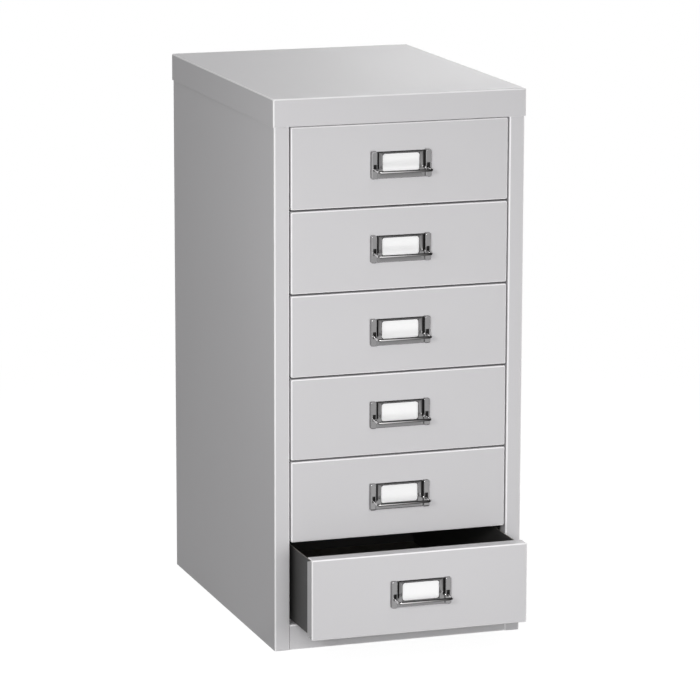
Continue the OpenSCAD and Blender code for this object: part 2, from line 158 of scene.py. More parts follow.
class TraySettings(PropertyGroup):
    """Drawer trays"""

    sheet: Sheet(default=0.0008)
    fold: Length(name="Fold", description="Outside radius of the bottom folds", default=0.002)
    hem: Length(name="Hem", description="Height of the hem along the top edge", default=0.006)
    hem_gap: Length(name="Hem gap", description="Room inside the folded hem", default=0.0001)
    ear_reach: Length(
        name="Ear reach", description="Reach of the stop ears beside the tray", default=0.010
    )
    ear_height: Length(name="Ear height", description="Height of the stop ears", default=0.013)
    ear_level: Length(
        name="Ear level", description="Height of the ears above the tray's floor", default=0.010
    )
    edge: RawEdge()


class HolderSettings(PropertyGroup):
    """Pressed card holder with two hollow ears"""

    sheet: Sheet(default=0.0008)
    press: Length(name="Press", description="Outside radius of the ears' edges", default=0.0016)
    ear_width: Length(name="Ear width", description="Width of each ear", default=0.0067)
    ear_rise: Length(name="Ear rise", description="Height of the ears", default=0.0046)
    plate_rise: Length(name="Plate rise", description="Height of the frame plate", default=0.0021)
    slit: Length(name="Slit", description="Width of the slit beside each ear", default=0.0015)
    window_width: Length(name="Window width", description="Width of the window", default=0.041)
    window_height: Length(name="Window height", description="Height of the window", default=0.0192)
    window_corner: Length(
        name="Window corner", description="Corner radius of the window", default=0.003
    )
    window_top: Length(
        name="Window top", description="Window's distance below the ears' tops", default=0.0029
    )
    frame_drop: Length(
        name="Frame drop", description="Frame's distance below the ears' tops", default=0.0016
    )
    lug_height: Length(name="Lug height", description="Height of each fixing lug", default=0.005)
    lug_margin: Length(
        name="Lug margin", description="Distance of the lugs from the ends", default=0.003
    )
    lug_fold: Length(name="Lug fold", description="Reach of each lug's folded end", default=0.004)
    edge: RawEdge()


class BailSettings(PropertyGroup):
    """Wire bail that hangs in the card holder's ears"""

    wire: Length(name="Wire", description="Diameter of the wire", default=0.0028)
    arm: Length(
        name="Arm", description="Distance from the pivot to the crossbar's middle", default=0.0155
    )
    arm_place: Length(
        name="Arm place", description="Distance of each arm from the middle", default=0.02955
    )
    pivot_rise: Length(
        name="Pivot rise", description="Distance of the pivot from the front", default=0.0021
    )
    pivot_drop: Length(
        name="Pivot drop", description="Distance of the pivot below the middle", default=0.0044
    )
    corner: Length(name="Corner", description="Radius of the crossbar's corners", default=0.0032)
    pin_corner: Length(
        name="Pin corner", description="Radius of the bends into the pins", default=0.0019
    )
    pin_gap: Length(
        name="Pin gap", description="Distance of a pin's end inside the ear's face", default=0.0003
    )
    bore_gap: Length(name="Bore gap", description="Room round a pin", default=0.00006)
    slot_gap: Length(name="Slot gap", description="Room round the wire", default=0.0003)
    rest: Angle(name="Rest", description="Angle at which it hangs", default=math.radians(4))
    lift: Angle(name="Lift", description="Angle to which it lifts", default=math.radians(50))


class FinishSettings(PropertyGroup):
    """Colours of the finishes"""

    carcase: Colour(name="Carcase", description="Carcase's paint", default=(0.6, 0.592, 0.604))
    front: Colour(name="Fronts", description="Paint of the fronts", default=(0.6, 0.592, 0.604))
    tray: Colour(name="Trays", description="Paint of the trays", default=(0.048, 0.047, 0.046))
    # A paler tone on the trays' up-facing faces, mostly their floors
    upward_tone: Colour(name="Dust", description="Dust on the trays' floors", default=(0.26, 0.24, 0.21))
    zinc: Colour(name="Zinc", description="Zinc on the runners", default=(0.55, 0.56, 0.57))
    holder: Colour(name="Holders", description="Plating of the holders", default=(0.3, 0.296, 0.3))
    bail: Colour(name="Bails", description="Plating of the bails", default=(0.8, 0.79, 0.79))
    # The dark colour of painted shade and dark reflections on the plating, and of painted shade on
    # the paint under the holders
    tarnish: Colour(name="Tarnish", description="Tarnished plating", default=(0.025, 0.024, 0.024))
    # Edges: the pale colour of the painted highlight along the folds' rounding
    edges: Colour(name="Edges", description="Paint worn thin on folds", default=(0.95, 0.94, 0.95))
    card: Colour(name="Cards", description="Card behind each window", default=(0.94, 0.94, 0.94))
    gloss: Factor(name="Gloss", description="Gloss of the paint", default=0.5)


class PaintedShadeSettings(PropertyGroup):
    """How dark the painted shade and dark reflections on the holders' plating are, from 0 for
    bright to 1 for black
    """

    ears: Factor(name="Ears", description="At the ears' roots", default=0.4)
    rim: Factor(name="Rim", description="Round the window", default=0.9)
    head: Factor(name="Head", description="Above the window", default=0.6)
    sill: Factor(name="Sill", description="Just below the window", default=0.5)
    foot: Factor(name="Foot", description="Along the plate's foot", default=0.15)
    slits: FloatProperty(
        name="Slits", description="How fast it darkens into the slits", default=2.2, min=0
    )


class StageSettings(PropertyGroup):
    """Camera, lamps and floor"""

    camera: Place(
        name="Camera", description="Place of the camera", default=(-1.3191, -3.9599, 1.1542)
    )
    turn: Angle(name="Turn", description="Camera's turn to the right", default=math.radians(18.53))
    dip: Angle(name="Dip", description="Camera's tilt down", default=math.radians(11.83))
    roll: Angle(name="Roll", description="Camera's roll", default=math.radians(0.13))
    lens: FloatProperty(name="Lens", description="Focal length", default=199.18, unit="CAMERA")
    sky: Factor(name="Sky", description="Strength of the even light", default=0.15)
    front: Power(name="Front", description="Power of the front lamp", default=31.5)
    key: Power(name="Key", description="Power of the small lamp far to the left", default=23)
    top: Power(name="Top", description="Power of the top lamp", default=13.4)
    low: Power(name="Low", description="Power of the low lamp near the floor", default=3)
    side: Power(name="Side", description="Power of the small lamp on the left", default=0.38)
    back: Power(name="Back", description="Power of the lamp behind", default=24)
    floor: Factor(name="Floor", description="How pale the floor is", default=0.2)
    shadow: Factor(name="Shadow", description="Depth of the shadow on the floor", default=0.07)


class CabinetSettings(PropertyGroup):
    """Everything that can be set on the cabinet"""

    carcase: PointerProperty(type=CarcaseSettings)
    fronts: PointerProperty(type=FrontSettings)
    trays: PointerProperty(type=TraySettings)
    holders: PointerProperty(type=HolderSettings)
    bails: PointerProperty(type=BailSettings)
    finishes: PointerProperty(type=FinishSettings)
    tarnish: PointerProperty(type=PaintedShadeSettings)
    stage: PointerProperty(type=StageSettings)


# ---- Finishes ----


class Value:
    """A number that a finish works out at each point. Arithmetic on it adds Math nodes."""

    def __init__(self, finish, socket):
        self.finish = finish
        self.socket = socket

    def math(self, operation, first, second):
        return self.finish.add("ShaderNodeMath", {"operation": operation}, {0: first, 1: second})

    def __add__(self, other):
        return self.math("ADD", self, other)

    def __sub__(self, other):
        return self.math("SUBTRACT", self, other)

    def __rsub__(self, other):
        return self.math("SUBTRACT", other, self)

    def __mul__(self, other):
        return self.math("MULTIPLY", self, other)

    def __abs__(self):
        return self.math("ABSOLUTE", self, 0)

    def __lt__(self, other):
        return self.math("LESS_THAN", self, other)

    __radd__ = __add__
    __rmul__ = __mul__

    def larger(self, other):
        """The larger of two values."""
        return self.math("MAXIMUM", self, other)

    def off_beat(self, beat):
        """Distance from the nearest multiple of beat."""
        return self.math("PINGPONG", self, beat / 2)

    def sway(self, spread):
        """A level from 0 to 1 made into a change around 0, spread wide."""
        return spread * (self - 0.5)


class Nodes:
    """A tree of nodes, emptied and built up again."""

    def __init__(self, tree):
        self.nodes = tree.nodes
        self.links = tree.links
        self.nodes.clear()

    def add(self, kind, settings=None, sockets=None, output=0):
        """Adds a node, fills or links its sockets and returns the output asked for."""
        node = self.nodes.new(kind)
        for name, value in (settings or {}).items():
            setattr(node, name, value)
        for name, value in (sockets or {}).items():
            if isinstance(value, Value):
                self.links.new(value.socket, node.inputs[name])
            else:
                node.inputs[name].default_value = value
        return Value(self, node.outputs[output]) if node.outputs else node

    def seen_rays(self):
        """1 for rays by which the background is seen, straight, mirrored or through glass."""
        camera, glossy, through = (
            self.add("ShaderNodeLightPath", output=f"Is {kind} Ray")
            for kind in ("Camera", "Glossy", "Transmission")
        )
        return camera.larger(glossy).larger(through)


class Finish(Nodes):
    """A procedural material, laid on each piece by its object coordinates."""

    def __init__(self, name):
        old = bpy.data.materials.get(name)
        if old:
            bpy.data.materials.remove(old)
        self.material = bpy.data.materials.new(name)
        self.material.use_nodes = True
        super().__init__(self.material.node_tree)

    def place(self, stretch=(1, 1, 1)):
        """The point on the piece, stretched along its axes."""
        point = self.add("ShaderNodeTexCoord", output="Object")
        return self.add("ShaderNodeMapping", sockets={"Vector": point, "Scale": stretch})

    def noise(self, size, detail, stretch=(1, 1, 1)):
        """Cloudy variation from 0 to 1 whose features are about size across."""
        sockets = {"Vector": self.place(stretch), "Scale": 1 / size, "Detail": detail}
        return self.add("ShaderNodeTexNoise", sockets=sockets)

    def spangle(self, size):
        """A random level from 0 to 1 on each crystal of about that size."""
        sockets = {"Vector": self.place(), "Scale": 1 / size}
        crystal = self.add("ShaderNodeTexVoronoi", sockets=sockets, output="Color")
        return self.add("ShaderNodeSeparateColor", sockets={0: crystal})

    def axis(self, name):
        """The piece's own coordinate along an axis."""
        point = self.add("ShaderNodeTexCoord", output="Object")
        return self.add("ShaderNodeSeparateXYZ", sockets={0: point}, output=name)

    def distance(self):
        """Distance from the origin."""
        point = self.add("ShaderNodeTexCoord", output="Object")
        return self.add("ShaderNodeVectorMath", {"operation": "LENGTH"}, {0: point}, "Value")

    def rise(self, value, start, end):
        """0 where value is below start, 1 where it is above end."""
        return self.add(
            "ShaderNodeMapRange",
            {"interpolation_type": "SMOOTHSTEP"},
            {"Value": value, "From Min": start, "From Max": end},
        )

    def folds(self):
        """1 along the rounding of folds, 0 on sheet that faces straight along an axis."""
        normal = self.add("ShaderNodeNewGeometry", output="Normal")
        x, y, z = (
            abs(self.add("ShaderNodeSeparateXYZ", sockets={0: normal}, output=name))
            for name in "XYZ"
        )
        return self.rise(1 - x.larger(y).larger(z), start=0.01, end=0.08)

    def tint(self, share, first, second):
        """Colour between two colours, by share."""
        first, second = (c if isinstance(c, Value) else (*c, 1) for c in (first, second))
        sockets = {0: share, 6: first, 7: second}
        return self.add("ShaderNodeMix", {"data_type": "RGBA"}, sockets, output=2)

    def mottle(self, share, colour, dark, pale):
        """The colour, made darker where share is 0 and paler where it is 1."""
        return self.tint(share, shade(colour, dark), shade(colour, pale))

    def relief(self, height, depth, strength):
        """Normals of a relief of that height, from 0 to 1, and depth in metres."""
        sockets = {"Height": height, "Distance": depth, "Strength": strength}
        return self.add("ShaderNodeBump", sockets=sockets)

    def surface(self, **sockets):
        """Ends the material in one shader, whose sockets are named with _ for a space."""
        names = {name.replace("_", " "): value for name, value in sockets.items()}
        shader = self.add("ShaderNodeBsdfPrincipled", sockets=names)
        self.add("ShaderNodeOutputMaterial", sockets={"Surface": shader})
        return self.material


def shade(colour, level):
    """The colour made lighter or darker."""
    return tuple(min(1, c * level) for c in colour)


def stove_paint(name, colour, finishes, mounts=None):
    """Stoved paint: nearly even, with a fine orange peel, clouds in its shade and a painted
    highlight along the folds.

    mounts holds the lowest card holder's corners and the pitch to the next, on painted fronts; the
    paint that the holders cover gets painted shade.
    """
    finish = Finish(name)
    clouds = finish.noise(size=0.09, detail=3)
    peel = finish.noise(size=0.0016, detail=1)
    grain = finish.noise(size=0.0006, detail=0)
    cloudy, highlit = 0.6, 0.7
    share = cloudy * clouds + (1 - cloudy) * grain
    paint = finish.mottle(share, colour, dark=0.975, pale=1.025)
    # Painted highlight: the folds' rounding is tinted towards the pale edge colour
    fold_highlight = finish.folds() * (highlit + (1 - highlit) * clouds)
    paint = finish.tint(fold_highlight, paint, finishes.edges)
    if mounts:
        # Painted shade: the paint under the card holders takes the dark shade colour, so slits and
        # slots look black
        paint = finish.tint(under_holders(finish, *mounts), paint, finishes.tarnish)
    return finish.surface(
        Base_Color=paint,
        Roughness=(1 - finishes.gloss) + clouds.sway(0.06) + peel.sway(0.04),
        Normal=finish.relief(peel, depth=0.00002, strength=0.6),
        Specular_IOR_Level=0.3,
    )


def under_holders(finish, lo, hi, pitch):
    """1 on the paint that the card holders cover, which is painted dark as shade, 0 around them.
    """
    margin = 0.0006
    up = finish.axis("Z") - (lo.z + hi.z) / 2
    level = up.off_beat(pitch)
    return (abs(finish.axis("X")) < hi.x - margin) * (level < (hi.z - lo.z) / 2 - margin)


def tray_paint(name, colour, upward_tone):
    """Dark satin paint, paler in patches on whatever faces up."""
    finish = Finish(name)
    clouds = finish.noise(size=0.05, detail=4)
    peel = finish.noise(size=0.0012, detail=1)
    normal = finish.add("ShaderNodeNewGeometry", output="Normal")
    up = finish.add("ShaderNodeSeparateXYZ", sockets={0: normal}, output="Z")
    # Faces that point up take the paler tone, in patches
    facing_up = finish.rise(up, start=0.8, end=0.98) * (0.8 + clouds.sway(0.4))
    paint = finish.mottle(clouds, colour, dark=0.85, pale=1.15)
    return finish.surface(
        Base_Color=finish.tint(facing_up, paint, upward_tone),
        Roughness=0.52 + clouds.sway(0.12),
        Normal=finish.relief(peel, depth=0.00002, strength=0.6),
        Specular_IOR_Level=0.25,
    )


def zinc_plate(name, colour):
    """Galvanised sheet with faint crystals."""
    finish = Finish(name)
    crystals = finish.spangle(size=0.006)
    haze = finish.noise(size=0.02, detail=4)
    return finish.surface(
        Base_Color=finish.mottle(crystals, colour, dark=0.88, pale=1.08),
        Metallic=0.85,
        Roughness=0.34 + 0.1 * crystals + 0.1 * haze,
    )


def bright_plate(name, colour, tarnish, roughness):
    """Nickel plate over polished steel, with the polishing's faint lines and painted shade and
    dark reflections read from each vertex.
    """
    finish = Finish(name)
    lines = finish.noise(size=0.0004, detail=2, stretch=(0.05, 1, 1))
    haze = finish.noise(size=0.008, detail=3)
    dark = finish.add("ShaderNodeAttribute", {"attribute_name": PAINTED_SHADE}, output="Fac")
    plate = finish.mottle(haze, colour, dark=0.93, pale=1.05)
    return finish.surface(
        Base_Color=finish.tint(dark, plate, tarnish),
        Metallic=1.0,
        Roughness=roughness + haze.sway(0.08) + lines.sway(0.05) + 0.2 * dark,
        Normal=finish.relief(lines, depth=0.000004, strength=0.5),
    )


def card_paper(name, colour):
    """Uncoated white card with a trace of fibre."""
    finish = Finish(name)
    fibre = finish.noise(size=0.0009, detail=4, stretch=(0.5, 1, 1))
    return finish.surface(
        Base_Color=finish.mottle(fibre, colour, dark=0.975, pale=1.02),
        Roughness=0.88,
        Normal=finish.relief(fibre, depth=0.00001, strength=0.4),
    )


# ---- Sheet work ----


def verts_of(geometry):
    """The vertices in a mixed list."""
    return [g for g in geometry if isinstance(g, bmesh.types.BMVert)]


def edges_of(geometry):
    """The edges in a mixed list."""
    return [g for g in geometry if isinstance(g, bmesh.types.BMEdge)]


def ends_of(edges):
    """The vertices that edges run between."""
    return list({v for e in edges for v in e.verts})


def parts_where(bm, test):
    """Vertices, edges and faces all of whose corners pass a test."""
    corners = [v for v in bm.verts if test(v.co)]
    inside = set(corners)
    return corners + [g for g in (*bm.edges, *bm.faces) if inside.issuperset(g.verts)]


def middle(item):
    """Middle of an edge or a face."""
    return sum((v.co for v in item.verts), Vector()) / len(item.verts)


def round_off(bm, parts, radius, steps, affect="EDGES"):
    """Rounds edges, or the vertices of an outline."""
    bmesh.ops.bevel(
        bm, geom=list(parts), offset=radius, offset_type="OFFSET", segments=steps,
        profile=0.5, affect=affect, clamp_overlap=True, material=-1,
    )


def draw_out(bm, edges, along):
    """Draws edges along a vector into faces, and returns the edges at the far end."""
    drawn = bmesh.ops.extrude_edge_only(bm, edges=list(edges))["geom"]
    bmesh.ops.translate(bm, verts=verts_of(drawn), vec=along)
    return edges_of(drawn)


def scale_about(bm, edges, centre, factors):
    """Scales edges about a centre."""
    bmesh.ops.scale(bm, verts=ends_of(edges), vec=factors, space=Matrix.Translation(-centre))


def folded_sheet(bm, corners, along, fold=0, steps=FOLD_STEPS):
    """Middle surface of a folded sheet: its corners joined, drawn along and rounded."""
    points = [bm.verts.new(corner) for corner in corners]
    lines = [bm.edges.new(pair) for pair in zip(points, points[1:])]
    far = ends_of(draw_out(bm, lines, along))
    folds = [e for p in points[1:-1] for e in p.link_edges if e.other_vert(p) in far]
    round_off(bm, folds, fold, steps)


def block(bm, lo, hi):
    """Box between two corners, whose faces are returned."""
    verts = bmesh.ops.create_cube(bm, size=1)["verts"]
    bmesh.ops.scale(bm, verts=verts, vec=hi - lo)
    bmesh.ops.translate(bm, verts=verts, vec=(lo + hi) / 2)
    return list({f for v in verts for f in v.link_faces})


def open_block(bm, lo, hi, mouth):
    """Box that is open towards mouth. Returns its inner edges."""
    faces = block(bm, lo, hi)
    lid = max(faces, key=lambda f: middle(f).dot(mouth))
    edges = {e for f in faces for e in f.edges}
    bmesh.ops.delete(bm, geom=[lid], context="FACES_ONLY")
    return [e for e in edges if not e.is_boundary]


def cut(bm, faces, point, normal):
    """Cuts a line across faces where a plane meets them."""
    near = {g for f in faces for g in (f, *f.edges, *f.verts)}
    bmesh.ops.bisect_plane(bm, geom=list(near), dist=MERGE, plane_co=point, plane_no=normal)


def faces_where(bm, test):
    """The faces whose middle passes a test."""
    return [f for f in bm.faces if test(middle(f))]


def drop_faces(bm, test):
    """Deletes the faces whose middle passes a test."""
    bmesh.ops.delete(bm, geom=faces_where(bm, test), context="FACES")


def clamp(level):
    """The level, held between 0 and 1."""
    return min(1, max(0, level))


def slope(value, start, end):
    """0 where value is start and 1 where it is end, on one straight line."""
    return (value - start) / (end - start)


def lay_painted_shade(bm, level):
    """Gives every vertex its share of painted shade, which level works out from its place."""
    layer = bm.verts.layers.float.new(PAINTED_SHADE)
    for v in bm.verts:
        v[layer] = level(v.co)


def set_down(name, bm, body, nodes, material, sheet=0, edge=0):
    """Makes a mesh a piece on its body, with its thickness and its cut edges rounded."""
    old = bpy.data.objects.get(name)
    if old:
        bpy.data.objects.remove(old)
    bmesh.ops.recalc_face_normals(bm, faces=list(bm.faces))
    for face in bm.faces:
        face.smooth = True
    mesh = bpy.data.meshes.new(name)
    bm.to_mesh(mesh)
    bm.free()
    mesh.materials.append(material)
    piece = bpy.data.objects.new(name, mesh)
    bpy.context.scene.collection.objects.link(piece)
    if sheet:
        wall = piece.modifiers.new("Sheet", "SOLIDIFY")
        wall.thickness = sheet
        wall.offset = 0
        wall.use_even_offset = True
    if edge:
        soft = piece.modifiers.new("Cut edges", "BEVEL")
        soft.width = edge
        soft.segments = EDGE_STEPS
        soft.limit_method = "ANGLE"
        soft.angle_limit = SHARP
    piece.modifiers.new("Flat faces", "WEIGHTED_NORMAL").keep_sharp = True
    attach(piece, body)
    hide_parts(*nodes)


# ---- Operators ----


class CabinetOperator:
    """What the operators share."""

    bl_options = {"REGISTER", "UNDO"}

    def execute(self, context):
        self.build(context.scene.drawer_cabinet)
        return {"FINISHED"}


class CABINET_OT_top_cap(CabinetOperator, Operator):
    """Presses the lid-like top with its skirt"""

    bl_idname = "cabinet.top_cap"
    bl_label = "Top cap"

    def build(self, settings):
        size = settings.carcase
        half = size.sheet / 2
        lo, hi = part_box("top_cap")
        bm = bmesh.new()
        folds = open_block(bm, lo + half * (X + Y), hi - half * (X + Y + Z), -Z)
        round_off(bm, folds, size.fold - half, FOLD_STEPS)
        paint = stove_paint("cap paint", settings.finishes.carcase, settings.finishes)
        set_down("cap_shell", bm, "carcase", ["top_cap"], paint, size.sheet,
                 size.edge)


class CABINET_OT_side_panels(CabinetOperator, Operator):
    """Folds each side with its front stile, the stile's return and its rear flange"""

    bl_idname = "cabinet.side_panels"
    bl_label = "Side panels"

    def build(self, settings):
        size = settings.carcase
        half = size.sheet / 2
        paint = stove_paint("side paint", settings.finishes.carcase, settings.finishes)
        for side, name in ((-1, "left"), (1, "right")):
            lo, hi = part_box(f"side_panel_{name}")
            outer = max(abs(lo.x), abs(hi.x))
            opening = side * (outer - size.stile + half)
            wall = side * (outer - half)
            corners = [
                (opening, lo.y + size.stile_return, lo.z),
                (opening, lo.y + half, lo.z),
                (wall, lo.y + half, lo.z),
                (wall, hi.y - half, lo.z),
                (side * (outer - size.rear_flange), hi.y - half, lo.z),
            ]
            bm = bmesh.new()
            folded_sheet(bm, corners, (hi.z - lo.z) * Z, size.fold - half)
            set_down(f"side_shell_{name}", bm, "carcase", [f"side_panel_{name}"],
                     paint, size.sheet, size.edge)


class CABINET_OT_inner_sheets(CabinetOperator, Operator):
    """Folds the bottom, the back, the plinth and the rail behind the front skirt"""

    bl_idname = "cabinet.inner_sheets"
    bl_label = "Bottom, back, plinth and rail"

    def build(self, settings):
        size = settings.carcase
        half = size.sheet / 2
        paint = stove_paint("inner paint", settings.finishes.carcase, settings.finishes)

        lo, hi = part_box("bottom_panel")
        bottom = bmesh.new()
        corners = [
            (lo.x + half, lo.y, hi.z),
            (lo.x + half, lo.y, lo.z + half),
            (hi.x - half, lo.y, lo.z + half),
            (hi.x - half, lo.y, hi.z),
        ]
        folded_sheet(bottom, corners, (hi.y - lo.y) * Y, size.fold - half)

        pieces = [("bottom_shell", bottom, "bottom_panel")]
        for name, node, forwards in (
            ("back_shell", "back_panel", True),
            ("plinth_channel", "front_plinth", False),
            ("header_channel", "header_rail", False),
        ):
            lo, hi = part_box(node)
            mouth, web = (lo.y, hi.y - half) if forwards else (hi.y, lo.y + half)
            channel = bmesh.new()
            corners = [
                (lo.x, mouth, hi.z - half),
                (lo.x, web, hi.z - half),
                (lo.x, web, lo.z + half),
                (lo.x, mouth, lo.z + half),
            ]
            folded_sheet(channel, corners, (hi.x - lo.x) * X, size.fold - half)
            pieces.append((name, channel, node))
        for name, bm, node in pieces:
            set_down(name, bm, "carcase", [node], paint, size.sheet, size.edge)


class CABINET_OT_runners(CabinetOperator, Operator):
    """Plates the runners with zinc"""

    bl_idname = "cabinet.runners"
    bl_label = "Runners"

    def build(self, settings):
        zinc = zinc_plate("runner zinc", settings.finishes.zinc)
        for side in ("left", "right"):
            for i in NUMBERS:
                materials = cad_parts[f"runner_{side}_{i}"].data.materials
                materials.clear()
                materials.append(zinc)


class CABINET_OT_drawer_fronts(CabinetOperator, Operator):
    """Folds the drawer fronts and opens the notches at the corners of their returns"""

    bl_idname = "cabinet.drawer_fronts"
    bl_label = "Drawer fronts"

    def build(self, settings):
        size = settings.fronts
        low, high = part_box(f"card_holder_{DRAWERS}")
        pitch = (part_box("card_holder_1")[0] - low).z / (DRAWERS - 1)
        paint = stove_paint(
            "front paint", settings.finishes.front, settings.finishes, (low, high, pitch)
        )
        half = size.sheet / 2
        for i in NUMBERS:
            lo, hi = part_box(f"drawer_front_{i}")
            bm = bmesh.new()
            folds = open_block(bm, lo + half * (X + Y + Z), hi - half * (X + Z), Y)
            round_off(bm, folds, size.fold - half, FOLD_STEPS)
            self.open_notches(bm, lo, hi, size)
            set_down(f"front_shell_{i}", bm, f"drawer_{i}", [f"drawer_front_{i}"],
                     paint, size.sheet, size.edge)

    def open_notches(self, bm, lo, hi, size):
        """Cuts a wedge out of each side return, from the front fold to the return's rear edge."""
        start = lo.y + 2 * size.fold
        depth = hi.y - start
        height = size.notch - size.sheet
        cut(bm, list(bm.faces), start * Y, Y)
        for level, inward in ((lo.z + size.sheet, 1), (hi.z - size.sheet, -1)):
            apex = Vector((0, start, level))
            for normal in (Z, Vector((0, -inward * height, depth))):
                cut(bm, faces_where(bm, lambda m: m.y > start), apex, normal)

            def in_wedge(m):
                return 0 < inward * (m.z - level) < height * (m.y - start) / depth

            drop_faces(bm, lambda m: m.y > start and in_wedge(m))


class CABINET_OT_trays(CabinetOperator, Operator):
    """Folds the trays with their hems and stop ears"""

    bl_idname = "cabinet.trays"
    bl_label = "Trays"

    def build(self, settings):
        size = settings.trays
        paint = tray_paint("tray paint", settings.finishes.tray, settings.finishes.upward_tone)
        half = size.sheet / 2
        for i in NUMBERS:
            lo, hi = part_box(f"drawer_tray_{i}")
            lo.x += size.ear_reach
            hi.x -= size.ear_reach
            bm = bmesh.new()
            shell = Vector((half, half, half))
            folds = open_block(bm, lo + shell, hi - shell, Z)
            floor = [e for e in folds if middle(e).z < lo.z + size.sheet]
            round_off(bm, floor, size.fold - half, PRESS_STEPS)
            self.fold_hem(bm, lo, hi, size)
            self.add_ears(bm, lo, hi, size)
            set_down(f"tray_shell_{i}", bm, f"drawer_{i}", [f"drawer_tray_{i}"],
                     paint, size.sheet, size.edge)

    def fold_hem(self, bm, lo, hi, size):
        """Turns the top edge inwards and down along all four walls."""
        rim = [e for e in bm.edges if e.is_boundary]
        half = size.sheet / 2
        inwards = size.sheet + size.hem_gap
        nearly_half = 0.49
        span = (hi - lo) / 2
        top = draw_out(bm, rim, Vector())
        inset = (1 - inwards / (span.x - half), 1 - inwards / (span.y - half), 1)
        scale_about(bm, top, (lo + hi) / 2, inset)
        draw_out(bm, top, -(size.hem - half) * Z)
        round_off(bm, rim + top, inwards * nearly_half, TIGHT_STEPS)

    def add_ears(self, bm, lo, hi, size):
        """Sets a flat ear on each side, level with the rear wall and rooted in the side wall."""
        root = size.sheet / 4
        for side in (-1, 1):
            wall = hi.x if side > 0 else lo.x
            inside = wall - side * root
            y = hi.y - size.sheet / 2
            z = lo.z + size.ear_level
            corners = [(inside, y, z), (wall + side * size.ear_reach, y, z)]
            folded_sheet(bm, corners, size.ear_height * Z)


